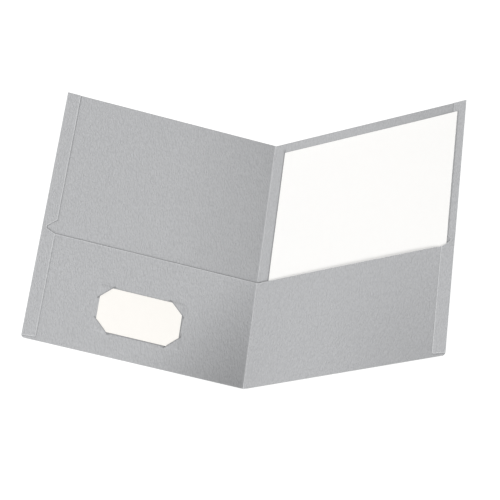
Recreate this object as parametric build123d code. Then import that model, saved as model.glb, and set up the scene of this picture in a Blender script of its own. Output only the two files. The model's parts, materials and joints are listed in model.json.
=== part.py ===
from build123d import *
import os

# Two-pocket folder, lying open: the back cover is flat and the front cover stands raised at the spine.
# It is one blank of embossed card stock. On each half a pocket folds up from the bottom edge and a hem
# folds in from the outer edge. Above the pocket the hem is glued to the cover, and beside the pocket it
# is glued over the pocket's face. A letter sheet is in the back pocket, and a business card is held by
# four corner slits in the front pocket.
#
# Both halves are drawn alike in one flat layout: x runs from the spine to the outer edge, y from the
# bottom edge to the top edge, z from the cover's outer face inwards. The front half is its mirror image,
# turned up about the spine. The finished origin is the middle of the back cover's outer face.

# Driving dimensions, in millimetres and degrees

# Blank
stock = 0.40  # thickness of the card stock
glue_film = 0.05  # thickness of each glue line
open_angle = 130.0  # between the inner faces of the two covers

# Letter sheet, and the room that a cover leaves round it
sheet_width = 215.9
sheet_height = 279.4
sheet_thickness = 0.10
sheet_clearance = 0.05  # above and below the sheet in its pocket
spine_margin = 13.0  # spine to sheet
edge_margin = 9.1  # sheet to outer edge
foot_margin = 6.6  # bottom edge to sheet
head_margin = 12.0  # sheet to top edge

# Pockets
pocket_depth = 124.5  # bottom edge to the pocket's mouth
side_clearance = 0.20  # pocket's outer edge to the side fold that wraps it
corner_radius = 1.5  # cover and pocket, at the bottom outer corner

# Hems
hem_width = 14.5
hem_foot = 3.6  # bottom edge to the hem's slanted lower end, at its inner edge
hem_setback = 0.4  # the lower hem's upper end, below the pocket's mouth
notch_band = 4.7  # left of the hem between the notch and the outer edge
lower_notch_rise = 4.7
notch_blunt = 3.6  # height of the notch at its bottom
upper_notch_rise = 9.3
level_gap = 0.20  # between the upper and the lower hem, where the hem steps onto the pocket
glue_margin = 1.5  # glue line to the edges of what it holds

# Business card and the slits that hold its corners
card_width = 88.9
card_height = 50.8
card_thickness = 0.30
card_clearance = 0.05  # under the card, and over it in the corner tabs
card_side_clearance = 0.30  # card's edges to the corner tabs
card_shift = 1.8  # card's middle, outwards from the cover's middle
card_foot = 27.1  # bottom edge to card
corner_cover = 12.2  # length of card edge that each corner tab hides
slit_overrun = 2.1  # how far a slit runs past the card's edges
slit_width = 0.30

# Spine
spine_clearance = 0.05  # each half's edge to the spine plane
fold_clearance = 0.10  # pocket's face to the fold axis

# Overall sizes of one cover
cover_width = spine_margin + sheet_width + edge_margin
cover_height = foot_margin + sheet_height + head_margin

# Heights of the layers over the cover's outer face
hem_glue_floor = stock
upper_hem_floor = hem_glue_floor + glue_film
upper_hem_top = upper_hem_floor + stock
sheet_floor = upper_hem_top + sheet_clearance
pocket_floor = sheet_floor + sheet_thickness + sheet_clearance
pocket_top = pocket_floor + stock
lower_hem_floor = pocket_top + glue_film
lower_hem_top = lower_hem_floor + stock
card_floor = pocket_top + card_clearance
tab_floor = card_floor + card_thickness + card_clearance
tab_top = tab_floor + stock

# Outer radii of the folds, each of which joins two layers
bottom_radius = pocket_top / 2
upper_side_radius = upper_hem_top / 2
lower_side_radius = lower_hem_top / 2

# Lines of the flat layout
upper_side = cover_width - upper_side_radius
lower_side = cover_width - lower_side_radius
pocket_side = lower_side - side_clearance
hem_inner = cover_width - hem_width
notch_bottom = cover_width - notch_band
fold_end = lower_side - corner_radius
side_foot = bottom_radius + corner_radius
notch_foot = pocket_depth - hem_setback
notch_low = notch_foot + lower_notch_rise
notch_high = notch_low + notch_blunt
notch_head = notch_high + upper_notch_rise
hem_step = (notch_low + notch_high) / 2
lower_step = hem_step - level_gap / 2
upper_step = hem_step + level_gap / 2

# Fold between the two halves
fold_height = pocket_top + fold_clearance
fold_turn = 180.0 - open_angle
fold_axis = Axis((0, 0, fold_height), (0, 1, 0))

# Business card's middle
card_middle_x = cover_width / 2 + card_shift
card_middle_y = card_foot + card_height / 2


def plate(outline, floor, thickness):
    """A flat layer with the given face as its outline, from the given height up."""
    return extrude(Pos(0, 0, floor) * outline, thickness)


def polygon(*points):
    """A face with straight edges."""
    return make_face(Polyline(*points, close=True))


def rectangle(left, bottom, right, top):
    """An upright rectangular face between two opposite corners."""
    return polygon((left, bottom), (right, bottom), (right, top), (left, top))


def rounded_panel(side, *upper_points):
    """A panel's face: spine edge, bottom edge, rounded bottom outer corner, then the points given."""
    corner = CenterArc((side - corner_radius, side_foot), corner_radius, 270, 90)
    rest = Polyline(corner @ 1, *upper_points, (spine_clearance, bottom_radius), corner @ 0)
    return make_face(corner + rest)


def fold_section(outer_radius):
    """Half a ring: the stock turned back on itself, with the lower layer's outer face on y = 0."""
    ring = Circle(outer_radius) - Circle(outer_radius - stock)
    upper_half = Rectangle(2 * outer_radius, outer_radius, align=(Align.CENTER, Align.MIN))
    return Pos(outer_radius, 0) * (ring & upper_half)


def bottom_section(x):
    """The bottom fold's section across the blank, at the given distance from the spine."""
    section_plane = Plane((x, bottom_radius, 0), x_dir=(0, 0, 1), z_dir=(1, 0, 0))
    return section_plane * fold_section(bottom_radius)


def side_fold(outer_radius, bottom, top):
    """A fold along the outer edge between two heights."""
    section_plane = Plane((cover_width - outer_radius, bottom, 0), x_dir=(0, 0, 1), z_dir=(0, 1, 0))
    return extrude(section_plane * fold_section(outer_radius), top - bottom)


def cover():
    """Outer panel, with its edge drawn in where the thicker lower side fold starts."""
    side_points = ((lower_side, hem_step), (upper_side, hem_step))
    top_points = ((upper_side, cover_height), (spine_clearance, cover_height))
    return plate(rounded_panel(lower_side, *side_points, *top_points), 0, stock)


def pocket():
    """Pocket panel over the lower part of the cover."""
    mouth_points = ((pocket_side, pocket_depth), (spine_clearance, pocket_depth))
    return plate(rounded_panel(pocket_side, *mouth_points), pocket_floor, stock)


def bottom_fold():
    """Rounded fold from the cover's bottom edge up into the pocket."""
    return extrude(bottom_section(spine_clearance), fold_end - side_clearance - spine_clearance)


def upper_hem():
    """Hem on the cover's inner face, above the notch."""
    outline = polygon(
        (upper_side, upper_step),
        (upper_side, cover_height),
        (hem_inner, cover_height),
        (hem_inner, notch_head),
        (notch_bottom, notch_high),
        (notch_bottom, upper_step),
    )
    return plate(outline, upper_hem_floor, stock)


def lower_hem():
    """Hem over the pocket's face, below the notch, with a slanted lower end."""
    outline = polygon(
        (lower_side, side_foot),
        (lower_side, lower_step),
        (notch_bottom, lower_step),
        (notch_bottom, notch_low),
        (hem_inner, notch_foot),
        (hem_inner, hem_foot),
    )
    return plate(outline, lower_hem_floor, stock)


def hem_glue():
    """Glue line between the cover and the upper hem."""
    left = hem_inner + glue_margin
    right = upper_side - glue_margin
    outline = rectangle(left, notch_head + glue_margin, right, cover_height - glue_margin)
    return plate(outline, hem_glue_floor, glue_film)


def pocket_glue():
    """Glue line between the pocket's face and the lower hem."""
    left = hem_inner + glue_margin
    right = pocket_side - glue_margin
    outline = rectangle(left, hem_foot + glue_margin, right, notch_foot - glue_margin)
    return plate(outline, pocket_top, glue_film)


def crease(section):
    """A section of the blank in the spine plane, turned about the fold axis from back to front."""
    return revolve(section, fold_axis, fold_turn)


def spine_section(floor, top):
    """A layer's section in the spine plane, from the bottom fold up to the given distance."""
    return Plane.YZ * rectangle(bottom_radius, floor, top, floor + stock)


def corner_triangle(reach, beyond=0.0):
    """The card's upper outer corner, cut off along the slit line and grown past the card's edges.

    The legs lie outside the card's edges by reach, and the long side lies past the slit line by beyond
    along the legs. The card's middle is the origin.
    """
    right = card_width / 2 + reach
    top = card_height / 2 + reach
    leg = corner_cover + 2 * reach + beyond
    return polygon((right, top), (right - leg, top), (right, top - leg))


def at_each_corner(shape):
    """Four copies of a shape at the card's upper outer corner, one at each corner of the card."""
    pair = [shape, mirror(shape, about=Plane.YZ)]
    four = pair + [mirror(half, about=Plane.XZ) for half in pair]
    return [Pos(card_middle_x, card_middle_y, 0) * one for one in four]


def corner_tab():
    """The pocket's corner beyond a slit, raised by the corner of the card that is tucked under it."""
    foot = corner_triangle(slit_overrun)
    crown = corner_triangle(2 * card_side_clearance)
    base = plate(foot, pocket_floor, stock)
    slope = loft([Pos(0, 0, pocket_top) * foot, Pos(0, 0, tab_top) * crown], ruled=True)
    recess = corner_triangle(card_side_clearance, beyond=card_side_clearance)
    return base + slope - plate(recess, pocket_floor, tab_floor - pocket_floor)


def slit_pocket():
    """Front pocket panel, open at the four corner tabs and along their slits."""
    opening = plate(corner_triangle(slit_overrun, beyond=slit_width), pocket_floor, stock)
    return pocket() - at_each_corner(opening)


def letter_sheet():
    """Letter sheet, standing in the pocket above the bottom fold."""
    right = spine_margin + sheet_width
    outline = rectangle(spine_margin, foot_margin, right, foot_margin + sheet_height)
    return plate(outline, sheet_floor, sheet_thickness)


def business_card():
    """Business card, on the front pocket's face with its corners in the tabs."""
    outline = Pos(card_middle_x, card_middle_y) * Rectangle(card_width, card_height)
    return plate(outline, card_floor, card_thickness)


def on_back(shape):
    """Moves a piece from the flat layout to the back half, or to the spine."""
    return Pos(-cover_width / 2, -cover_height / 2, 0) * shape


def on_front(shape):
    """Moves a piece from the flat layout to the raised front half."""
    return on_back(mirror(shape, about=Plane.YZ).rotate(fold_axis, fold_turn))


def half_pieces():
    """The pieces that both halves have, in the flat layout."""
    return {
        "cover": cover(),
        "bottom_fold": bottom_fold(),
        "upper_side_fold": side_fold(upper_side_radius, upper_step, cover_height),
        "lower_side_fold": side_fold(lower_side_radius, side_foot, lower_step),
        "upper_hem": upper_hem(),
        "lower_hem": lower_hem(),
        "hem_glue": hem_glue(),
        "pocket_glue": pocket_glue(),
    }


pieces = {}
for name, shape in half_pieces().items():
    pieces[f"back_{name}"] = on_back(shape)
    pieces[f"front_{name}"] = on_front(shape)
pieces["back_pocket"] = on_back(pocket())
pieces["front_pocket"] = on_front(slit_pocket())
pieces["card_corner_tabs"] = Compound([on_front(tab) for tab in at_each_corner(corner_tab())])
pieces["business_card"] = on_front(business_card())
pieces["letter_sheet"] = on_back(letter_sheet())
pieces["spine_crease"] = on_back(crease(spine_section(0, cover_height)))
pieces["pocket_crease"] = on_back(crease(spine_section(pocket_floor, pocket_depth)))
pieces["bottom_crease"] = on_back(crease(bottom_section(0)))

os.makedirs("parts", exist_ok=True)
for name, shape in pieces.items():
    export_step(shape, f"parts/{name}.step")
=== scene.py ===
"""Looks of a two-pocket folder: grey embossed card stock, a letter sheet and a blank business card.

Each half of the folder's blank is drawn unfolded, cut to its outline, triangulated, folded along the creases
of the solids and thickened. A narrow strip joins the two halves and bends at the spine. Sizes come from the
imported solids. Everything is in metres.

A half's flat layout has three directions: u from the spine to the outer edge, v from the bottom edge to the
top edge, and w from the cover's outer face inwards. The unfolded blank has two: s runs like u and goes on
into the hem, and t runs like v and goes on below zero into the pocket.
"""
import json
import math
from dataclasses import dataclass

import bpy
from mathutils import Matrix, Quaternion, Vector, kdtree
from mathutils.geometry import delaunay_2d_cdt


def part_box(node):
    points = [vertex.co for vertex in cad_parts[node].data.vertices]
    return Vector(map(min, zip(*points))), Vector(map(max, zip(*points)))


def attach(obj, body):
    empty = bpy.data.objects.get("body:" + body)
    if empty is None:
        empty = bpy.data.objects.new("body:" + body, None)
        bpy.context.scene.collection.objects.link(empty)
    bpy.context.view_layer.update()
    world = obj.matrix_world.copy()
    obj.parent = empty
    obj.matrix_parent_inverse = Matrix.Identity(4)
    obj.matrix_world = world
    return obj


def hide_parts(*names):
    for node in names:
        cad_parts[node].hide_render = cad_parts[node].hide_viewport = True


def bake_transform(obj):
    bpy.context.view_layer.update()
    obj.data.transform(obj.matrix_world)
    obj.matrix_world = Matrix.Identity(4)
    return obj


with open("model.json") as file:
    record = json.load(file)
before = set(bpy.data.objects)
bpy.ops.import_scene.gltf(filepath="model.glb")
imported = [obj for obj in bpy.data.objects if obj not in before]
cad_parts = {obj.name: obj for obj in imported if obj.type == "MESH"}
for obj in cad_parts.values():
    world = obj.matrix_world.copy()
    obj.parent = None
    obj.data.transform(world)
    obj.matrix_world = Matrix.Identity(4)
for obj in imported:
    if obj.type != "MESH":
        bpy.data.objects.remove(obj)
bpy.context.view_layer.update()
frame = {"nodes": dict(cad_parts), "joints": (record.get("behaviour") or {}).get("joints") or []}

MM = 0.001
TOUCH = 0.02 * MM  # points of a solid this near to a line lie on it

# The fold between the halves, from its joint
JOINTS = {joint["name"]: joint for joint in frame["joints"]}
FOLD_X, _, FOLD_Z = JOINTS["spine_fold"]["pos_m"]
TURN = -math.radians(JOINTS["spine_fold"]["range_deg"][0])
FOOT_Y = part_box("back_bottom_fold")[0].y


def to_frame(u, v, w, front):
    """A point of a half's flat layout, in the frame."""
    if not front:
        return Vector((FOLD_X + u, FOOT_Y + v, w))
    x = (w - FOLD_Z) * math.sin(TURN) - u * math.cos(TURN)
    z = (w - FOLD_Z) * math.cos(TURN) + u * math.sin(TURN)
    return Vector((FOLD_X + x, FOOT_Y + v, FOLD_Z + z))


def to_layout(point, front):
    """A point of the frame, in a half's flat layout."""
    x = point.x - FOLD_X
    z = point.z - FOLD_Z
    if not front:
        return Vector((x, point.y - FOOT_Y, point.z))
    u = z * math.sin(TURN) - x * math.cos(TURN)
    w = z * math.cos(TURN) + x * math.sin(TURN) + FOLD_Z
    return Vector((u, point.y - FOOT_Y, w))


def layout_points(node, front=False):
    """The points of a solid in its half's flat layout."""
    return [to_layout(vertex.co, front) for vertex in frame["nodes"][node].data.vertices]


def box_of(points):
    """Lowest and highest corner of the box round some points."""
    return Vector(map(min, zip(*points))), Vector(map(max, zip(*points)))


def layout_box(node, front=False):
    """Lowest and highest corner of a solid in its half's flat layout."""
    return box_of(layout_points(node, front))


def heights_at(points, u):
    """Lowest and highest v of the points on an upright line."""
    on_line = [point.y for point in points if abs(point.x - u) < TOUCH]
    return min(on_line), max(on_line)


# Sizes of a half, from the back half's solids
STOCK = layout_box("back_cover")[1].z
COVER_TOP = layout_box("back_cover")[1].y
SIDE = layout_box("back_upper_side_fold")[1].x
UPPER_RADIUS = layout_box("back_upper_side_fold")[1].z / 2 - STOCK / 2
LOWER_RADIUS = layout_box("back_lower_side_fold")[1].z / 2 - STOCK / 2
SIDE_FOOT = layout_box("back_lower_side_fold")[0].y
BOTTOM_CENTRE = layout_box("back_bottom_fold")[1].z / 2
BOTTOM_RADIUS = BOTTOM_CENTRE - STOCK / 2
BOTTOM_END = layout_box("back_bottom_fold")[1].x
POCKET_SIDE = layout_box("back_pocket")[1].x
POCKET_TOP = layout_box("back_pocket")[1].z
POCKET_LEVEL = POCKET_TOP - STOCK / 2
MOUTH = layout_box("back_pocket")[1].y
CORNER = SIDE_FOOT - BOTTOM_CENTRE

upper_hem = layout_points("back_upper_hem")
lower_hem = layout_points("back_lower_hem")
HEM_INNER = min(point.x for point in lower_hem)
HEM_FOOT, NOTCH_FOOT = heights_at(lower_hem, HEM_INNER)
NOTCH_HEAD, _ = heights_at(upper_hem, HEM_INNER)
LOWER_STEP = max(point.y for point in lower_hem)
NOTCH_BOTTOM = min(point.x for point in lower_hem if point.y > LOWER_STEP - TOUCH)
NOTCH_LOW, _ = heights_at(lower_hem, NOTCH_BOTTOM)
_, NOTCH_HIGH = heights_at(upper_hem, NOTCH_BOTTOM)

# Letter sheet, business card and the slits for its corners
SHEET_LOW, SHEET_HIGH = layout_box("letter_sheet")
CARD_LOW, CARD_HIGH = layout_box("business_card", True)
CARD_MIDDLE = (CARD_LOW + CARD_HIGH) / 2
tab_points = layout_points("card_corner_tabs", True)
TAB_REACH = max(point.x for point in tab_points) - CARD_HIGH.x
TAB_RISE = max(point.z for point in tab_points) - POCKET_TOP
TAB_RIGHT = CARD_HIGH.x - CARD_MIDDLE.x + TAB_REACH
TAB_TOP = CARD_HIGH.y - CARD_MIDDLE.y + TAB_REACH
top_edge = [point.x for point in tab_points if point.y > CARD_MIDDLE.y + TAB_TOP - TOUCH]
TAB_LEG = CARD_MIDDLE.x + TAB_RIGHT - min(u for u in top_edge if u > CARD_MIDDLE.x)
SLIT_WIDTH = 0.30 * MM

# Mesh
SEAM = 3.0 * MM  # spine to the seam between a half and the spine strip
SEAM_STEPS = 12  # columns of the spine strip on each side of its arc
GRID = 6.0 * MM  # spacing of the points of a flat panel
TAB_GRID = 1.3 * MM  # the same beside the card's slits
ROUND_STEPS = 8  # divisions of a half-round fold
ARC_STEPS = 6  # divisions of a quarter-round corner or of the spine's arc
FOLD_FINENESS = 2  # rows along a side fold to each step of the grid
FOLD_ZONE = 2.0 * MM  # how far the hem's step goes on above the notch's bottom
CDT_INSIDE = 1  # asks the triangulation for what lies inside the outline
CDT_NEAR = 1e-4  # millimetres within which it takes two points for one
SMOOTH_ANGLE = math.radians(35)

# Painted bands: distance from the line, and the share of painted highlight or painted shadow there
HIGHLIGHT_BAND = ((0.0, 1.0), (0.45 * MM, 1.0), (0.90 * MM, 0.0))
PAINTED_SHADOW_BAND = ((0.0, 1.0), (0.50 * MM, 0.75), (1.30 * MM, 0.0))
NARROW_SHADOW_BAND = ((0.0, 1.0), (0.45 * MM, 0.8), (0.90 * MM, 0.0))
FULL = 1.0  # strength of the plainest lines
LAYER_SHADOW_STRENGTH = 0.65  # strength of the painted shadow lines beside layers that lie close
FAINT_SHADOW_STRENGTH = 0.45
NOTCH_SHIFT = 1.0 * MM  # from the notch's lower edge to the painted shadow line on the cover above it
SHEET_SHIFT = 0.95 * MM  # from the sheet's edge to the painted shadow line beside it
CARD_SHIFT = 0.45 * MM  # the same for the card
CREASE_SHIFT = 0.9 * MM  # from the middle of the spine's bend to its crease line of painted highlight, on the front side
CREASE_HIGHLIGHT = 0.7  # strength of the painted highlight along that line

# Shade painted on the panels: its strongest share, and the lengths over which it fades
FRONT_COVER_PAINTED_SHADE = 0.125  # towards the spine
FRONT_COVER_FADE = 120 * MM
FRONT_POCKET_PAINTED_SHADES = (0.39, 0.055)  # towards the spine, at the bottom edge and at the mouth
FRONT_POCKET_FADES = (137 * MM, 44 * MM)
BACK_COVER_PAINTED_SHADE = 0.12  # towards the outer edge
BACK_COVER_START = 70 * MM
BACK_COVER_FADE = 150 * MM
BACK_POCKET_PAINTED_SHADES = (0.155, 0.055)  # towards the outer edge, at the bottom edge and at the mouth
BACK_POCKET_START = 60 * MM
BACK_POCKET_FADE = 160 * MM

# Shape of the bent layers
HEM_LIFT_WIDTH = 3.0 * MM  # width over which a hem's inner edge stands off
BOW_FROM_SPINE = 135 * MM  # length over which a pocket's mouth bows up beside the spine
BOW_FROM_HEM = 12 * MM
BOW_POWER = 0.7  # below 1 for a bow that is steeper at its ends
BOW_GROWTH = 3  # power with which the bow grows from the bottom edge to the mouth
BEAD_HEIGHT = 0.10 * MM  # raised line along the inside of the spine crease
BEAD_WIDTH = 0.45 * MM
SHEET_SAG = 0.45 * MM  # how far the sheet lies below its outer edge, which rests on the hem
SHEET_SAG_WIDTH = 40 * MM
SHEET_CURL = 0.25 * MM  # how far the sheet's free edges curl up
SHEET_CURL_WIDTH = 25.0 * MM
SHEET_FREE_START = 8 * MM  # from the mouth to where the edges begin to curl
SHEET_FREE_LENGTH = 20 * MM


@dataclass
class Half:
    """One half of the folder, and how its layers part."""
    name: str
    front: bool
    upper_lift: float  # of the upper hem's inner edge off the cover
    lower_lift: float  # of the lower hem's inner edge off the pocket
    mouth_bow: float  # of the pocket's mouth away from the cover
    mouth_shift: float  # from the mouth's edge to the middle of the painted shadow line on the cover above it


BACK = Half(
    "back", front=False, upper_lift=0.03 * MM, lower_lift=0.20 * MM, mouth_bow=1.0 * MM, mouth_shift=1.2 * MM
)
FRONT = Half(
    "front", front=True, upper_lift=0.22 * MM, lower_lift=0.20 * MM, mouth_bow=0.0, mouth_shift=0.6 * MM
)


def smooth(x):
    """Rises from 0 to 1 as x goes from 0 to 1, level at both ends."""
    x = min(max(x, 0.0), 1.0)
    return x * x * (3 - 2 * x)


# Folding of the blank

def side_radius(v):
    """Middle radius of the side fold, which is wider where the hem lies over the pocket."""
    share = smooth((v - NOTCH_FOOT) / (NOTCH_HIGH + FOLD_ZONE - NOTCH_FOOT))
    return LOWER_RADIUS + (UPPER_RADIUS - LOWER_RADIUS) * share


def side_centre(v):
    """Distance of the side fold's centre line from the spine."""
    return SIDE - STOCK / 2 - side_radius(v)


def unfold_hem(u, v):
    """Place along s of a point of the hem."""
    return side_centre(v) * 2 + math.pi * side_radius(v) - u


def unfold_pocket(v):
    """Place along t of a point of the pocket."""
    return 2 * BOTTOM_CENTRE - math.pi * BOTTOM_RADIUS - v


def hem_rise(u, v, half):
    """How far the hem's inner edge stands off the layer under it."""
    lift = half.upper_lift if v > NOTCH_LOW else half.lower_lift
    share = max(0.0, 1 - (u - HEM_INNER) / HEM_LIFT_WIDTH)
    return lift * share * share


def mouth_rise(u, v, half):
    """How far a pocket bows out towards its mouth."""
    share = min((u - SEAM) / BOW_FROM_SPINE, (HEM_INNER - u) / BOW_FROM_HEM, 1.0)
    across = math.sin(max(share, 0.0) * math.pi / 2) ** BOW_POWER
    return half.mouth_bow * across * max(v / MOUTH, 0.0) ** BOW_GROWTH


def tab_rise(u, v):
    """How far the front pocket's corners beyond the slits are raised by the card under them."""
    x = abs(u - CARD_MIDDLE.x)
    y = abs(v - CARD_MIDDLE.y)
    if x + y < TAB_RIGHT + TAB_TOP - TAB_LEG - TOUCH:
        return 0.0
    return TAB_RISE * smooth((TAB_RIGHT - x) / TAB_REACH) * smooth((TAB_TOP - y) / TAB_REACH)


def fold_bottom(s, t, half):
    """Layout place of a point of the bottom fold or of the pocket."""
    turn = (BOTTOM_CENTRE - t) / BOTTOM_RADIUS
    if turn < math.pi:
        v = BOTTOM_CENTRE - BOTTOM_RADIUS * math.sin(turn)
        return s, v, BOTTOM_CENTRE - BOTTOM_RADIUS * math.cos(turn)
    v = BOTTOM_CENTRE + (turn - math.pi) * BOTTOM_RADIUS
    rise = mouth_rise(s, v, half)
    if half.front:
        rise += tab_rise(s, v)
    return s, v, POCKET_LEVEL + rise


def fold_side(s, t, half):
    """Layout place of a point of the cover, the side fold or the hem."""
    radius = side_radius(t)
    centre = side_centre(t)
    turn = (s - centre) / radius
    if turn < 0:
        return s, t, STOCK / 2
    if turn < math.pi:
        return centre + radius * math.sin(turn), t, STOCK / 2 + radius * (1 - math.cos(turn))
    u = centre - (turn - math.pi) * radius
    return u, t, STOCK / 2 + 2 * radius + hem_rise(u, t, half)


def fold(s, t, half):
    """Layout place of a point of the unfolded half."""
    if t < BOTTOM_CENTRE:
        return fold_bottom(s, t, half)
    return fold_side(s, t, half)


# Lines of the blank

def divide(points, step, closed=False):
    """The points of a line, with more between them so that no stretch is longer than the step."""
    ends = points[1:] + points[:1] if closed else points[1:]
    divided = []
    for start, end in zip(points, ends):
        count = max(1, math.ceil((end - start).length / step))
        divided += [start.lerp(end, index / count) for index in range(count)]
    return divided if closed else divided + points[-1:]


def offset_line(points, distance):
    """An open line moved to its left by a distance, with mitred corners."""
    moved = []
    for index, point in enumerate(points):
        before = point - points[index - 1] if index else points[1] - point
        after = points[index + 1] - point if index + 1 < len(points) else before
        normal_in = before.normalized().orthogonal()
        normal_out = after.normalized().orthogonal()
        middle = (normal_in + normal_out).normalized()
        moved.append(point + middle * distance / middle.dot(normal_in))
    return moved


def quarter_round(centre, radius, start_degrees, end_degrees):
    """Points of a rounded corner."""
    points = []
    for step in range(ARC_STEPS + 1):
        angle = math.radians(start_degrees + (end_degrees - start_degrees) * step / ARC_STEPS)
        points.append(centre + radius * Vector((math.cos(angle), math.sin(angle))))
    return points


def hem_edge():
    """Cut edge of the hem on the unfolded blank, from the top edge down to the side fold's foot."""
    places = (
        (HEM_INNER, COVER_TOP),
        (HEM_INNER, NOTCH_HEAD),
        (NOTCH_BOTTOM, NOTCH_HIGH),
        (NOTCH_BOTTOM, NOTCH_LOW),
        (HEM_INNER, NOTCH_FOOT),
        (HEM_INNER, HEM_FOOT),
        (side_centre(SIDE_FOOT), SIDE_FOOT),
    )
    return [Vector((unfold_hem(u, v), v)) for u, v in places]


def mouth_edge():
    """Cut edge of the pocket's mouth on the unfolded blank, from the outer edge to the spine."""
    t = unfold_pocket(MOUTH)
    return [Vector((POCKET_SIDE, t)), Vector((SEAM, t))]


def half_outline():
    """Outline of the unfolded half, as one closed line."""
    cover_corner = Vector((side_centre(SIDE_FOOT) - CORNER, SIDE_FOOT))
    pocket_corner = Vector((POCKET_SIDE - CORNER, unfold_pocket(SIDE_FOOT)))
    outline = [Vector((SEAM, COVER_TOP))]
    outline += hem_edge()
    outline += quarter_round(cover_corner, CORNER, 0, -90)
    outline.append(Vector((BOTTOM_END, BOTTOM_CENTRE)))
    outline += quarter_round(pocket_corner, CORNER, 90, 0)
    return outline + mouth_edge()


def highlight_lines(half):
    """Cut edges along which a highlight is painted.

    On the back half none is painted on the upper hem's inner edge or on most of the mouth, where the sheet
    lies over them.
    """
    if half.front:
        return [hem_edge(), mouth_edge()]
    outer_end, spine_end = mouth_edge()
    return [hem_edge()[1:], [Vector((SHEET_LOW.x, outer_end.y)), spine_end]]


def notch_upper(u):
    """Height of the notch's upper edge at a distance from the spine."""
    depth = (u - HEM_INNER) / (NOTCH_BOTTOM - HEM_INNER)
    return NOTCH_HEAD + (NOTCH_HIGH - NOTCH_HEAD) * depth


def on_pocket(*places):
    """A line of the pocket on the unfolded blank."""
    return [Vector((u, unfold_pocket(v))) for u, v in places]


def front_painted_shadows():
    """Painted shadow lines beside the front half's layers, slits and card, each with its band and strength.
    """
    hem_on_cover = [Vector(place) for place in (
        (HEM_INNER, COVER_TOP),
        (HEM_INNER, NOTCH_HEAD),
        (NOTCH_BOTTOM, NOTCH_HIGH),
        (NOTCH_BOTTOM, NOTCH_LOW + NOTCH_SHIFT),
        (HEM_INNER, NOTCH_FOOT + NOTCH_SHIFT),
    )]
    straight = TAB_REACH - TAB_LEG
    near, far = CARD_LOW.x - straight, CARD_HIGH.x + straight
    foot, head = CARD_LOW.y - straight, CARD_HIGH.y + straight
    beside_card = on_pocket((CARD_LOW.x - CARD_SHIFT, foot), (CARD_LOW.x - CARD_SHIFT, head))
    under_card = on_pocket((near, CARD_LOW.y - CARD_SHIFT), (far, CARD_LOW.y - CARD_SHIFT))
    above_card = on_pocket((near, CARD_HIGH.y + CARD_SHIFT), (far, CARD_HIGH.y + CARD_SHIFT))
    slits = [corners[0:2] for corners in card_slits()]
    lines = [(line, PAINTED_SHADOW_BAND, FULL) for line in [beside_card, under_card, *slits]]
    return lines + [(hem_on_cover, PAINTED_SHADOW_BAND, LAYER_SHADOW_STRENGTH), (above_card, NARROW_SHADOW_BAND, FAINT_SHADOW_STRENGTH)]


def back_painted_shadows():
    """Painted shadow lines beside the back half's hem and sheet, each with its band and strength."""
    left = SHEET_LOW.x - SHEET_SHIFT
    right = SHEET_HIGH.x + SHEET_SHIFT
    hem_on_cover = [Vector((HEM_INNER, COVER_TOP)), Vector((HEM_INNER, NOTCH_HEAD))]
    beside_sheet = [Vector((left, v)) for v in (MOUTH, SHEET_HIGH.y)]
    on_hem = [Vector((unfold_hem(right, v), v)) for v in (notch_upper(right), SHEET_HIGH.y)]
    lines = [(line, PAINTED_SHADOW_BAND, FULL) for line in (hem_on_cover, beside_sheet)]
    return lines + [(on_hem, NARROW_SHADOW_BAND, LAYER_SHADOW_STRENGTH)]


def painted_shadow_lines(half):
    """All painted shadow lines of a half, each with its band and strength."""
    mouth_end = POCKET_SIDE if half.front else SHEET_HIGH.x
    above_mouth = [Vector((u, MOUTH + half.mouth_shift)) for u in (SEAM, mouth_end)]
    hem_on_pocket = on_pocket(
        (HEM_INNER, NOTCH_FOOT),
        (HEM_INNER, HEM_FOOT),
        (POCKET_SIDE - CORNER, SIDE_FOOT),
    )
    lines = front_painted_shadows() if half.front else back_painted_shadows()
    lines.append((above_mouth, PAINTED_SHADOW_BAND, mouth_shadow_strength(half)))
    return lines + [(line, NARROW_SHADOW_BAND, FAINT_SHADOW_STRENGTH) for line in (hem_on_pocket, *edge_lines())]


def mouth_shadow_strength(half):
    """Strength of the painted shadow line above a pocket's mouth."""
    return LAYER_SHADOW_STRENGTH if half.front else FULL


def edge_lines():
    """Top edge of the cover and the line round the bottom fold, which get a faint painted shade."""
    turn_out = BOTTOM_CENTRE - BOTTOM_RADIUS * math.pi / 2
    top = [Vector((SEAM, COVER_TOP)), Vector((side_centre(COVER_TOP), COVER_TOP))]
    return [top, [Vector((SEAM, turn_out)), Vector((BOTTOM_END, turn_out))]]


def slit_corners(sign_u, sign_v):
    """Outline of the slit at one corner of the card, on the unfolded blank."""
    places = (
        (TAB_RIGHT - TAB_LEG, TAB_TOP),
        (TAB_RIGHT, TAB_TOP - TAB_LEG),
        (TAB_RIGHT, TAB_TOP - TAB_LEG - SLIT_WIDTH),
        (TAB_RIGHT - TAB_LEG - SLIT_WIDTH, TAB_TOP),
    )
    return on_pocket(*[(CARD_MIDDLE.x + sign_u * x, CARD_MIDDLE.y + sign_v * y) for x, y in places])


def card_slits():
    """Outlines of the four slits."""
    return [slit_corners(i, j) for i in (1, -1) for j in (1, -1)]


# Triangulation of the blank

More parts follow.
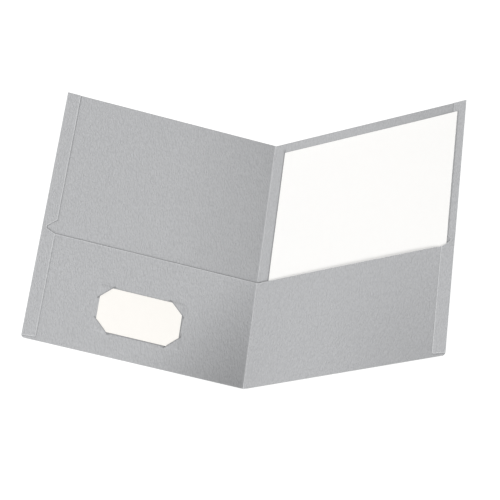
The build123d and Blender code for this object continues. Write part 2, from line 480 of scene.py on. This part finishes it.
class Blank:
    """Points and forced edges of a flat sheet."""

    def __init__(self):
        self.points = []
        self.edges = []

    def add_line(self, points, closed=False):
        """Adds a line whose stretches become edges of the mesh."""
        first = len(self.points)
        line = divide(points, GRID, closed)
        self.points += line
        self.edges += [(first + i, first + i + 1) for i in range(len(line) - 1)]
        if closed:
            self.edges.append((first + len(line) - 1, first))

    def add_band(self, line, band, *sides):
        """Adds the lines of a painted band, on the left (1) or the right (-1) of a line or on both."""
        for distance, _ in band:
            for side in sides:
                self.add_line(offset_line(line, side * distance))

    def fill(self, low, high, step):
        """Adds a grid of points in a box, away from the points that are there already."""
        tree = kdtree.KDTree(len(self.points))
        for index, point in enumerate(self.points):
            tree.insert(point.to_3d(), index)
        tree.balance()
        columns = math.ceil((high.x - low.x) / step)
        rows = math.ceil((high.y - low.y) / step)
        grid = [
            Vector((low.x + (high.x - low.x) * i / columns, low.y + (high.y - low.y) * j / rows))
            for i in range(1, columns)
            for j in range(1, rows)
        ]
        self.points += [point for point in grid if tree.find(point.to_3d())[2] > step / 2]

    def triangles(self, holes):
        """Triangulates the sheet and leaves out what lies in the holes."""
        scaled = [point / MM for point in self.points]
        places, _, faces, *_ = delaunay_2d_cdt(scaled, self.edges, [], CDT_INSIDE, CDT_NEAR)
        places = [place * MM for place in places]
        kept = [face for face in faces if not in_holes(face, places, holes)]
        used = sorted({index for face in kept for index in face})
        order = {index: place for place, index in enumerate(used)}
        return [places[index] for index in used], [[order[index] for index in face] for face in kept]


def in_holes(face, places, holes):
    """Whether a triangle's middle lies in one of the four-cornered holes."""
    middle = (places[face[0]] + places[face[1]] + places[face[2]]) / 3
    return any(inside(middle, hole) for hole in holes)


def inside(point, corners):
    """Whether a point lies inside a convex outline."""
    sides = []
    for start, end in zip(corners, corners[1:] + corners[:1]):
        along = end - start
        towards = point - start
        sides.append(along.x * towards.y - along.y * towards.x)
    return all(side > 0 for side in sides) or all(side < 0 for side in sides)


def add_fold_lines(blank):
    """Adds the lines along which the side and bottom folds are bent."""
    steps_up = math.ceil((COVER_TOP - SIDE_FOOT) / GRID) * FOLD_FINENESS
    levels = [SIDE_FOOT + (COVER_TOP - SIDE_FOOT) * i / steps_up for i in range(steps_up + 1)]
    for k in range(ROUND_STEPS + 1):
        share = k / ROUND_STEPS
        column = [Vector((side_centre(v) + math.pi * side_radius(v) * share, v)) for v in levels]
        blank.add_line(column)
        t = BOTTOM_CENTRE - math.pi * BOTTOM_RADIUS * share
        blank.add_line([Vector((SEAM, t)), Vector((BOTTOM_END, t))])


def half_blank(half):
    """The unfolded half with all its lines, and the slits cut out of it."""
    blank = Blank()
    slits = []
    blank.add_line(half_outline(), closed=True)
    add_fold_lines(blank)
    for line in highlight_lines(half):
        blank.add_band(line, HIGHLIGHT_BAND, -1)
    for line, band, _ in painted_shadow_lines(half):
        blank.add_band(line, band, 1, -1)
    if half.front:
        slits = card_slits()
        margin = Vector((TAB_REACH, TAB_REACH))
        for slit in slits:
            blank.add_line(slit, closed=True)
            low, high = box_of(slit)
            blank.fill(low - margin, high + margin, TAB_GRID)
    low = Vector((SEAM, unfold_pocket(MOUTH)))
    high = Vector((unfold_hem(HEM_INNER, COVER_TOP), COVER_TOP))
    blank.fill(low, high, GRID)
    return blank.triangles(slits)


# Paint of the blank

def distance_to(point, line):
    """Distance of a point from an open line."""
    nearest = math.inf
    for start, end in zip(line, line[1:]):
        along = end - start
        share = min(max((point - start).dot(along) / along.length_squared, 0.0), 1.0)
        nearest = min(nearest, (point - start - along * share).length)
    return nearest


def band_share(distance, band):
    """Share of a painted band at a distance from its line."""
    for (near, near_share), (far, far_share) in zip(band, band[1:]):
        if distance < far:
            return near_share + (far_share - near_share) * (distance - near) / (far - near)
    return 0.0


def strongest(point, lines):
    """The largest share at a point of the bands along several lines."""
    return max(strength * band_share(distance_to(point, line), band) for line, band, strength in lines)


def on_cover(s, t):
    """Whether a point of the unfolded half lies on its cover panel."""
    return t > BOTTOM_CENTRE and s < side_centre(t)


def between(ends, share):
    """A value between two ends."""
    return ends[0] + (ends[1] - ends[0]) * share


def half_shade(s, t, half):
    """Painted shade: darker towards the fold on the front half, towards the outer edge on the back half."""
    if on_cover(s, t):
        if half.front:
            return FRONT_COVER_PAINTED_SHADE * (1 - smooth(s / FRONT_COVER_FADE))
        return BACK_COVER_PAINTED_SHADE * smooth((s - BACK_COVER_START) / BACK_COVER_FADE)
    if t > BOTTOM_CENTRE:
        return 0.0
    height = min(max(fold(s, t, half)[1] / MOUTH, 0.0), 1.0)
    if half.front:
        fade = between(FRONT_POCKET_FADES, height)
        return between(FRONT_POCKET_PAINTED_SHADES, height) * (1 - smooth(s / fade))
    return between(BACK_POCKET_PAINTED_SHADES, height) * smooth((s - BACK_POCKET_START) / BACK_POCKET_FADE)


def half_paint(places, half):
    """Painted highlight, painted shadow and painted shade at each point of the unfolded half."""
    cut = [(line, HIGHLIGHT_BAND, FULL) for line in highlight_lines(half)]
    shadow_lines = painted_shadow_lines(half)
    return {
        "painted_highlight": [strongest(place, cut) for place in places],
        "painted_shadow": [strongest(place, shadow_lines) for place in places],
        "shade": [half_shade(*place, half) for place in places],
    }


# Meshes

SPINE_ARC = TURN * (FOLD_Z - STOCK / 2)  # length of the cover's arc round the fold axis
ARC_MIDDLE = 0.5  # share of the arc at which the back half ends and the front half begins
HALF_NODES = (
    "cover",
    "bottom_fold",
    "upper_side_fold",
    "lower_side_fold",
    "upper_hem",
    "lower_hem",
    "pocket",
)


def new_piece(name, places, faces, flat):
    """A mesh object with its unfolded coordinates."""
    mesh = bpy.data.meshes.new(name)
    mesh.from_pydata(places, [], faces)
    layer = mesh.uv_layers.new(name="unfolded")
    for loop in mesh.loops:
        layer.data[loop.index].uv = flat[loop.vertex_index]
    piece = bpy.data.objects.new(name, mesh)
    bpy.context.scene.collection.objects.link(piece)
    return piece


def thicken(piece, thickness, *materials):
    """Gives a sheet its thickness to both sides, with the second material on its cut edges."""
    for material in materials:
        piece.data.materials.append(material)
    modifier = piece.modifiers.new("thickness", "SOLIDIFY")
    modifier.thickness = thickness
    modifier.offset = 0.0
    modifier.material_offset_rim = 1
    solid = bpy.data.meshes.new_from_object(piece.evaluated_get(bpy.context.evaluated_depsgraph_get()))
    piece.modifiers.clear()
    solid.name = piece.data.name
    piece.data = solid
    solid.shade_smooth()
    solid.set_sharp_from_angle(angle=SMOOTH_ANGLE)
    return piece


def paint(piece, sheet, values, cover):
    """Paints a thickened sheet on its seen side: a cover's inside, and the outside of what folds over it.

    The painted highlight goes through to both sides.
    """
    count = len(sheet.vertices)
    seen = []
    for index, vertex in enumerate(piece.data.vertices):
        flat_vertex = sheet.vertices[index % count]
        inward = (vertex.co - flat_vertex.co).dot(flat_vertex.normal) > 0
        seen.append(inward == cover[index % count])
    for label, shares in values.items():
        attribute = piece.data.attributes.new(label, "FLOAT", "POINT")
        painted = [shares[i % count] if label == "painted_highlight" or side else 0.0 for i, side in enumerate(seen)]
        attribute.data.foreach_set("value", painted)


def make_half(half, stock, core):
    """One half of the blank, folded up."""
    flat, faces = half_blank(half)
    places = [to_frame(*fold(*place, half), half.front) for place in flat]
    side = -1 if half.front else 1
    unfolded = [(side * (place.x + SPINE_ARC / 2), place.y) for place in flat]
    if half.front:
        faces = [face[::-1] for face in faces]
    piece = new_piece(f"{half.name}_half", places, faces, unfolded)
    sheet = piece.data
    thicken(piece, STOCK, stock, core)
    paint(piece, sheet, half_paint(flat, half), [on_cover(*place) for place in flat])
    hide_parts(*[f"{half.name}_{name}" for name in HALF_NODES])
    if half.front:
        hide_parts("card_corner_tabs")
    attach(piece, half.name)
    return piece


def spine_profile():
    """Rows of the spine strip from the cover's top round the bottom fold to the mouth: t, v, w."""
    middles = [MOUTH + half.mouth_shift for half in (BACK, FRONT)]
    reach = [side * distance for side in (1, -1) for distance, _ in PAINTED_SHADOW_BAND]
    above = {middle + distance for middle in middles for distance in reach}
    marks = [COVER_TOP] + sorted(above, reverse=True) + [BOTTOM_CENTRE]
    cover = divide([Vector((t, 0)) for t in marks], GRID)
    rows = [(point.x, point.x, STOCK / 2) for point in cover]
    for k in range(1, ROUND_STEPS):
        turn = math.pi * k / ROUND_STEPS
        t = BOTTOM_CENTRE - BOTTOM_RADIUS * turn
        v = BOTTOM_CENTRE - BOTTOM_RADIUS * math.sin(turn)
        w = BOTTOM_CENTRE - BOTTOM_RADIUS * math.cos(turn)
        rows.append((t, v, w))
    marks = [BOTTOM_CENTRE] + [MOUTH - distance for distance, _ in reversed(HIGHLIGHT_BAND)]
    pocket = divide([Vector((v, 0)) for v in marks], GRID)
    return rows + [(unfold_pocket(point.x), point.x, POCKET_LEVEL) for point in pocket]


def spine_columns():
    """Columns of the spine strip from the back half to the front half: flat place q, u, share of the arc."""
    flats = [SEAM * k / SEAM_STEPS for k in range(SEAM_STEPS, 0, -1)]
    columns = [(SPINE_ARC / 2 + u, u, 0.0) for u in flats]
    for k in range(ARC_STEPS + 1):
        columns.append((SPINE_ARC * (ARC_MIDDLE - k / ARC_STEPS), 0.0, k / ARC_STEPS))
    return columns + [(-SPINE_ARC / 2 - u, u, 1.0) for u in reversed(flats)]


def from_crease(w, u, share):
    """Distance along the strip from its crease line of painted highlight, positive towards the back half."""
    distance = u + abs(share - ARC_MIDDLE) * TURN * (FOLD_Z - w)
    return CREASE_SHIFT + (distance if share < ARC_MIDDLE else -distance)


def spine_point(v, w, u, share):
    """Place of a point of the spine strip in the frame, with its crease line raised."""
    w = w + BEAD_HEIGHT * math.exp(-((from_crease(w, u, share) / BEAD_WIDTH) ** 2))
    if u > 0:
        return to_frame(u, v, w, share > ARC_MIDDLE)
    angle = share * TURN
    radius = FOLD_Z - w
    return Vector((FOLD_X - radius * math.sin(angle), FOOT_Y + v, FOLD_Z - radius * math.cos(angle)))


def spine_paint(t, v, w, u, share):
    """Painted highlight, painted shadow and painted shade at a point of the spine strip."""
    distance = from_crease(w, u, share)
    half = BACK if distance > 0 else FRONT
    painted_highlight = CREASE_HIGHLIGHT * band_share(abs(distance), HIGHLIGHT_BAND)
    painted_shadow = 0.0
    if w < BOTTOM_CENTRE:
        painted_shadow = mouth_shadow_strength(half) * band_share(abs(v - MOUTH - half.mouth_shift), PAINTED_SHADOW_BAND)
    else:
        painted_highlight = max(painted_highlight, band_share(MOUTH - v, HIGHLIGHT_BAND))
    shade = half_shade(-distance, t, FRONT) if half.front else 0.0
    return {"painted_highlight": painted_highlight, "painted_shadow": painted_shadow, "shade": shade}


def make_spine(stock, core):
    """The strip of the blank that bends between the two halves."""
    rows = spine_profile()
    columns = spine_columns()
    spots = [(row, column) for row in rows for column in columns]
    places = [spine_point(v, w, u, share) for (_, v, w), (_, u, share) in spots]
    unfolded = [(q, t) for (t, _, _), (q, _, _) in spots]
    paints = [spine_paint(*row, u, share) for row, (_, u, share) in spots]
    width = len(columns)
    faces = []
    for i in range(len(rows) - 1):
        for j in range(width - 1):
            corner = i * width + j
            faces.append((corner, corner + 1, corner + width + 1, corner + width))
    piece = new_piece("spine_strip", places, faces, unfolded)
    sheet = piece.data
    thicken(piece, STOCK, stock, core)
    values = {label: [entry[label] for entry in paints] for label in ("painted_highlight", "painted_shadow", "shade")}
    paint(piece, sheet, values, [row[2] < BOTTOM_CENTRE for row, _ in spots])
    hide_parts("spine_crease", "pocket_crease", "bottom_crease")
    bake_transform(piece)
    return piece


def grid_piece(name, low, high, level, front):
    """A rectangular sheet of grid points in a half's layout, at the level given for each of them."""
    columns = math.ceil((high.x - low.x) / GRID)
    rows = math.ceil((high.y - low.y) / GRID)
    flat = [
        (low.x + (high.x - low.x) * i / columns, low.y + (high.y - low.y) * j / rows)
        for j in range(rows + 1)
        for i in range(columns + 1)
    ]
    faces = []
    for j in range(rows):
        for i in range(columns):
            corner = j * (columns + 1) + i
            face = (corner, corner + 1, corner + columns + 2, corner + columns + 1)
            faces.append(face[::-1] if front else face)
    places = [to_frame(u, v, level(u, v), front) for u, v in flat]
    return new_piece(name, places, faces, flat)


def sheet_level(u, v):
    """Height of the letter sheet: it rests on the hem, sags beside it and curls up at its free edges."""
    middle = (SHEET_LOW.z + SHEET_HIGH.z) / 2
    sag = SHEET_SAG * smooth((HEM_INNER - u) / SHEET_SAG_WIDTH)
    free = smooth((v - MOUTH - SHEET_FREE_START) / SHEET_FREE_LENGTH)
    near_edge = min(u - SHEET_LOW.x, SHEET_HIGH.x - u, SHEET_HIGH.y - v)
    curl = max(0.0, 1 - near_edge / SHEET_CURL_WIDTH) ** 2
    return middle - sag + SHEET_CURL * free * curl


def make_sheet(paper):
    """The letter sheet in the back pocket."""
    piece = grid_piece("letter_paper", SHEET_LOW, SHEET_HIGH, sheet_level, False)
    thicken(piece, SHEET_HIGH.z - SHEET_LOW.z, paper, paper)
    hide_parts("letter_sheet")
    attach(piece, "sheet")
    return piece


def make_card(board):
    """The business card in the front pocket's slits."""
    piece = grid_piece("blank_card", CARD_LOW, CARD_HIGH, lambda u, v: CARD_MIDDLE.z, True)
    thicken(piece, CARD_HIGH.z - CARD_LOW.z, board, board)
    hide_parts("business_card")
    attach(piece, "card")
    return piece


# Materials

STOCK_COLOUR = (0.497, 0.502, 0.513)
# colour of the painted highlight on cut edges and the crease
HIGHLIGHT_COLOUR = (0.80, 0.805, 0.815)
# colour of the painted shadow lines
PAINTED_SHADOW_COLOUR = (0.13, 0.131, 0.134)
CORE_COLOUR = (0.56, 0.565, 0.575)
PAPER_COLOUR = (0.957, 0.950, 0.934)
BOARD_COLOUR = (0.958, 0.933, 0.891)
GLUE_COLOUR = (0.62, 0.59, 0.50)
BLACK = (0.0, 0.0, 0.0)

NOISE_LOW = 0.3  # most noise lies between these two values
NOISE_HIGH = 0.7

# Stock. Scales are features to the metre across and along the unfolded sheet
PEBBLE_SCALE = (760, 260, 1)
PEBBLE_SHARE = 0.75  # of the relief, which is pores for the rest
SWAY = 1.3  # how far the valleys between the pebbles sway, in pebbles
SWAY_SCALE = (220, 110, 1)
PORE_SCALE = (1900, 800, 1)
CLOUD_SCALE = (28, 14, 1)
CLOUD_SPREAD = 0.008
VALLEY_SHADE = 0.88
SPECKLE_SCALE = (2600, 2600, 1)
HIGHLIGHT_SHARES = (0.38, 0.60)  # share of the highlight colour where a highlight is painted, from speckle to speckle
PAINTED_SHADOW_SHARES = (0.50, 0.70)
STOCK_ROUGHNESS = (0.52, 0.68)
STOCK_SPECULAR = 0.3
STOCK_RELIEF = 0.70 * MM

# Paper and board
FIBRE_SCALE = (1500, 1100, 1)
FIBRE_SHARE = 0.5  # of the colour's pattern, which is clouds for the rest
FIBRE_CLOUD_SCALE = (120, 90, 1)
FIBRE_ROUGHNESS_SPREAD = 0.06
FIBRE_SPECULAR = 0.25
FIBRE_BUMP = 0.25
FIBRE_RELIEF = 0.03 * MM

# Glue
GLUE_SCALE = 220.0
GLUE_SHADE = 0.85
GLUE_ROUGHNESS = (0.25, 0.45)
GLUE_BUMP = 0.3
GLUE_RELIEF = 0.02 * MM


class Nodes:
    """A material's node tree, with short ways to add and join nodes."""

    def __init__(self, name):
        self.material = bpy.data.materials.new(name)
        self.material.use_nodes = True
        self.tree = self.material.node_tree
        self.shader = self.tree.nodes["Principled BSDF"]

    def add(self, kind, **inputs):
        """A new node with the given input values."""
        node = self.tree.nodes.new(kind)
        for socket, value in inputs.items():
            node.inputs[socket.replace("_", " ")].default_value = value
        return node

    def join(self, output, entry):
        """Joins an output to an input."""
        self.tree.links.new(output, entry)

    def unfolded(self, scale):
        """The unfolded coordinates, multiplied by a scale for each direction."""
        coordinates = self.add("ShaderNodeUVMap")
        coordinates.uv_map = "unfolded"
        mapping = self.add("ShaderNodeMapping", Scale=scale)
        self.join(coordinates.outputs["UV"], mapping.inputs["Vector"])
        return mapping.outputs["Vector"]

    def noise(self, scale, **inputs):
        """Noise over the unfolded sheet."""
        node = self.add("ShaderNodeTexNoise", Scale=1.0, **inputs)
        self.join(self.unfolded(scale), node.inputs["Vector"])
        return node.outputs["Fac"]

    def pebbles(self, scale, sway, sway_scale):
        """Rounded pebbles over the unfolded sheet, highest in their middles, with swaying valleys."""
        bend = self.add("ShaderNodeTexNoise", Scale=1.0, Detail=1.0)
        self.join(self.unfolded(sway_scale), bend.inputs["Vector"])
        shift = self.tree.nodes.new("ShaderNodeVectorMath")
        shift.operation = "SCALE"
        shift.inputs["Scale"].default_value = sway
        self.join(bend.outputs["Color"], shift.inputs[0])
        moved = self.tree.nodes.new("ShaderNodeVectorMath")
        self.join(self.unfolded(scale), moved.inputs[0])
        self.join(shift.outputs["Vector"], moved.inputs[1])
        cells = self.add("ShaderNodeTexVoronoi", Scale=1.0)
        self.join(moved.outputs["Vector"], cells.inputs["Vector"])
        return self.math("SUBTRACT", 1.0, cells.outputs["Distance"])

    def math(self, operation, first, second):
        """A sum or product of two values, each a socket or a number."""
        node = self.tree.nodes.new("ShaderNodeMath")
        node.operation = operation
        for entry, value in zip(node.inputs, (first, second)):
            if isinstance(value, (int, float)):
                entry.default_value = value
            else:
                self.join(value, entry)
        return node.outputs["Value"]

    def span(self, value, low, high):
        """Noise spread over another span."""
        ends = {"From_Min": NOISE_LOW, "From_Max": NOISE_HIGH, "To_Min": low, "To_Max": high}
        node = self.add("ShaderNodeMapRange", **ends)
        self.join(value, node.inputs["Value"])
        return node.outputs["Result"]

    def weighted(self, first, second, share):
        """A weighted sum of two values, the share being that of the first."""
        return self.math("ADD", self.math("MULTIPLY", first, share), self.math("MULTIPLY", second, 1 - share))

    def mix(self, share, first, second):
        """A mix of two colours, each a socket or three numbers, by a share that varies."""
        node = self.tree.nodes.new("ShaderNodeMixRGB")
        self.join(share, node.inputs["Fac"])
        for label, value in (("Color1", first), ("Color2", second)):
            if isinstance(value, tuple):
                node.inputs[label].default_value = (*value, 1.0)
            else:
                self.join(value, node.inputs[label])
        return node.outputs["Color"]

    def attribute(self, name):
        """A painted value of the mesh."""
        node = self.tree.nodes.new("ShaderNodeAttribute")
        node.attribute_name = name
        return node.outputs["Fac"]

    def bump(self, height, strength, distance):
        """Relief from a height."""
        node = self.add("ShaderNodeBump", Strength=strength, Distance=distance)
        self.join(height, node.inputs["Height"])
        self.join(node.outputs["Normal"], self.shader.inputs["Normal"])


def shade(colour, factor):
    """A colour made lighter or darker."""
    return tuple(channel * factor for channel in colour)


def make_stock():
    """Grey card stock with a fine leather grain, and painted highlights, shadows and shade."""
    nodes = Nodes("cover_stock")
    pebbles = nodes.pebbles(PEBBLE_SCALE, SWAY, SWAY_SCALE)
    pores = nodes.noise(PORE_SCALE, Detail=1.0, Roughness=0.6)
    height = nodes.weighted(pebbles, pores, PEBBLE_SHARE)
    cloud = nodes.span(nodes.noise(CLOUD_SCALE, Detail=3.0), 0.0, 1.0)
    toned = nodes.mix(cloud, shade(STOCK_COLOUR, 1 - CLOUD_SPREAD), shade(STOCK_COLOUR, 1 + CLOUD_SPREAD))
    valley_share = nodes.math("SUBTRACT", 1.0, nodes.span(height, 0.0, 1.0))
    grained = nodes.mix(valley_share, toned, shade(STOCK_COLOUR, VALLEY_SHADE))
    speckle = nodes.noise(SPECKLE_SCALE, Detail=1.0)
    # painted highlight along the cut edges and the spine's crease line
    highlight_share = nodes.math("MULTIPLY", nodes.attribute("painted_highlight"), nodes.span(speckle, *HIGHLIGHT_SHARES))
    painted_highlight = nodes.mix(highlight_share, grained, HIGHLIGHT_COLOUR)
    # painted shadow beside the layers, sheet, card and slits, and along the top edge and bottom fold
    painted_shadow_share = nodes.math("MULTIPLY", nodes.attribute("painted_shadow"), nodes.span(speckle, *PAINTED_SHADOW_SHARES))
    shadowed = nodes.mix(painted_shadow_share, painted_highlight, PAINTED_SHADOW_COLOUR)
    # painted shade over the panels, darkening towards black by its share
    shaded = nodes.mix(nodes.attribute("shade"), shadowed, BLACK)
    nodes.join(shaded, nodes.shader.inputs["Base Color"])
    nodes.join(nodes.span(height, *STOCK_ROUGHNESS), nodes.shader.inputs["Roughness"])
    nodes.shader.inputs["Specular IOR Level"].default_value = STOCK_SPECULAR
    nodes.bump(height, 1.0, STOCK_RELIEF)
    return nodes.material


def make_fibre(name, colour, spread, roughness):
    """Plain paper or board with fine fibres and faint clouds."""
    nodes = Nodes(name)
    fibre = nodes.noise(FIBRE_SCALE, Detail=3.0, Roughness=0.65)
    cloud = nodes.noise(FIBRE_CLOUD_SCALE, Detail=2.0)
    pattern = nodes.span(nodes.weighted(fibre, cloud, FIBRE_SHARE), 0.0, 1.0)
    colours = nodes.mix(pattern, shade(colour, 1 - spread), colour)
    roughnesses = nodes.span(fibre, roughness - FIBRE_ROUGHNESS_SPREAD, roughness + FIBRE_ROUGHNESS_SPREAD)
    nodes.join(colours, nodes.shader.inputs["Base Color"])
    nodes.join(roughnesses, nodes.shader.inputs["Roughness"])
    nodes.shader.inputs["Specular IOR Level"].default_value = FIBRE_SPECULAR
    nodes.bump(fibre, FIBRE_BUMP, FIBRE_RELIEF)
    return nodes.material


def make_glue():
    """Dried glue, a little cloudy and glossier than the stock."""
    nodes = Nodes("glue")
    place = nodes.add("ShaderNodeTexCoord")
    noise = nodes.add("ShaderNodeTexNoise", Scale=GLUE_SCALE, Detail=3.0)
    nodes.join(place.outputs["Object"], noise.inputs["Vector"])
    cloud = noise.outputs["Fac"]
    colours = nodes.mix(nodes.span(cloud, 0.0, 1.0), shade(GLUE_COLOUR, GLUE_SHADE), GLUE_COLOUR)
    nodes.join(colours, nodes.shader.inputs["Base Color"])
    nodes.join(nodes.span(cloud, *GLUE_ROUGHNESS), nodes.shader.inputs["Roughness"])
    nodes.bump(cloud, GLUE_BUMP, GLUE_RELIEF)
    return nodes.material


def dress_glue(glue):
    """Puts the glue's finish on the four glue lines."""
    for half in (BACK, FRONT):
        for name in ("hem_glue", "pocket_glue"):
            slots = frame["nodes"][f"{half.name}_{name}"].data.materials
            slots.clear()
            slots.append(glue)


# Stage

FLOOR_SIZE = 12.0
FLOOR_DROP = 0.3 * MM  # under the folder, so that the two don't share a surface
FLOOR_WHITE = 0.84  # floor's own share of white towards the camera
FLOOR_ANSWER = 0.28  # share of the light that the floor gives back towards the camera
FLOOR_BOUNCE = 0.75  # share of the light that the floor gives back to the object
DOME = 0.56  # strength of the even light from all round


def seen_share(tree):
    """1 for rays that show the background, directly, in a gloss or through glass, and 0 for light."""
    path = tree.nodes.new("ShaderNodeLightPath")
    share = path.outputs["Is Camera Ray"]
    for label in ("Is Glossy Ray", "Is Transmission Ray"):
        larger = tree.nodes.new("ShaderNodeMath")
        larger.operation = "MAXIMUM"
        tree.links.new(share, larger.inputs[0])
        tree.links.new(path.outputs[label], larger.inputs[1])
        share = larger.outputs["Value"]
    return share


def make_floor():
    """A white floor that keeps a faint shadow."""
    half = FLOOR_SIZE / 2
    corners = [(-half, -half), (half, -half), (half, half), (-half, half)]
    mesh = bpy.data.meshes.new("floor")
    mesh.from_pydata([(x, y, -FLOOR_DROP) for x, y in corners], [], [(0, 1, 2, 3)])
    floor = bpy.data.objects.new("floor", mesh)
    bpy.context.scene.collection.objects.link(floor)
    nodes = Nodes("floor")
    nodes.tree.nodes.remove(nodes.shader)
    glow = nodes.add("ShaderNodeEmission", Color=(1, 1, 1, 1), Strength=FLOOR_WHITE)
    answer = nodes.add("ShaderNodeBsdfDiffuse", Color=(FLOOR_ANSWER, FLOOR_ANSWER, FLOOR_ANSWER, 1))
    bounce = nodes.add("ShaderNodeBsdfDiffuse", Color=(FLOOR_BOUNCE, FLOOR_BOUNCE, FLOOR_BOUNCE, 1))
    seen = nodes.tree.nodes.new("ShaderNodeAddShader")
    nodes.join(glow.outputs[0], seen.inputs[0])
    nodes.join(answer.outputs[0], seen.inputs[1])
    either = nodes.tree.nodes.new("ShaderNodeMixShader")
    nodes.join(seen_share(nodes.tree), either.inputs["Fac"])
    nodes.join(bounce.outputs[0], either.inputs[1])
    nodes.join(seen.outputs[0], either.inputs[2])
    nodes.join(either.outputs[0], nodes.tree.nodes["Material Output"].inputs["Surface"])
    mesh.materials.append(nodes.material)


def make_world():
    """Even light from all round, with a white background."""
    world = bpy.data.worlds.new("studio")
    bpy.context.scene.world = world
    world.use_nodes = True
    tree = world.node_tree
    light = tree.nodes["Background"]
    light.inputs["Strength"].default_value = DOME
    light.inputs["Color"].default_value = (1, 1, 1, 1)
    white = tree.nodes.new("ShaderNodeBackground")
    white.inputs["Strength"].default_value = 1.0
    white.inputs["Color"].default_value = (1, 1, 1, 1)
    either = tree.nodes.new("ShaderNodeMixShader")
    tree.links.new(seen_share(tree), either.inputs["Fac"])
    tree.links.new(light.outputs[0], either.inputs[1])
    tree.links.new(white.outputs[0], either.inputs[2])
    tree.links.new(either.outputs[0], tree.nodes["World Output"].inputs["Surface"])


def add_lamp(name, place, aim, size, power):
    """A soft rectangular lamp that points at a place."""
    data = bpy.data.lights.new(name, "AREA")
    data.shape = "RECTANGLE"
    data.size, data.size_y = size
    data.energy = power
    lamp = bpy.data.objects.new(name, data)
    lamp.location = place
    lamp.rotation_euler = (Vector(aim) - Vector(place)).to_track_quat("-Z", "Y").to_euler()
    bpy.context.scene.collection.objects.link(lamp)


def make_lamps():
    """A weak high lamp over the picture's upper left, and a strong low one beyond its lower edge."""
    add_lamp("high_lamp", place=(-0.55, 0.60, 1.30), aim=(-0.10, 0.0, 0.05), size=(0.9, 0.9), power=7.4)
    add_lamp("low_lamp", place=(1.0, -2.4, 1.08), aim=(-0.05, 0.0, 0.05), size=(1.9, 0.69), power=51.0)


CAMERA_PLACE = Vector((1.03439, -1.02009, 1.54112))
CAMERA_VIEW = Vector((-0.532845, 0.473603, -0.701268))
CAMERA_ROLL = math.radians(50.268)
CAMERA_LENS = 145.796
CAMERA_SENSOR = 36.0


def make_camera():
    """The camera at the photograph's viewing angle."""
    data = bpy.data.cameras.new("camera")
    data.lens = CAMERA_LENS
    data.sensor_width = CAMERA_SENSOR
    camera = bpy.data.objects.new("camera", data)
    camera.rotation_mode = "QUATERNION"
    upright = CAMERA_VIEW.to_track_quat("-Z", "Y")
    camera.rotation_quaternion = upright @ Quaternion((0, 0, 1), -CAMERA_ROLL)
    camera.location = CAMERA_PLACE
    bpy.context.scene.collection.objects.link(camera)
    bpy.context.scene.camera = camera


stock = make_stock()
core = make_fibre("stock_core", CORE_COLOUR, spread=0.10, roughness=0.75)
make_half(BACK, stock, core)
make_half(FRONT, stock, core)
make_spine(stock, core)
make_sheet(make_fibre("sheet_paper", PAPER_COLOUR, spread=0.012, roughness=0.70))
make_card(make_fibre("card_board", BOARD_COLOUR, spread=0.015, roughness=0.62))
dress_glue(make_glue())
make_floor()
make_world()
make_lamps()
make_camera()
bpy.context.scene.view_settings.view_transform = "Standard"
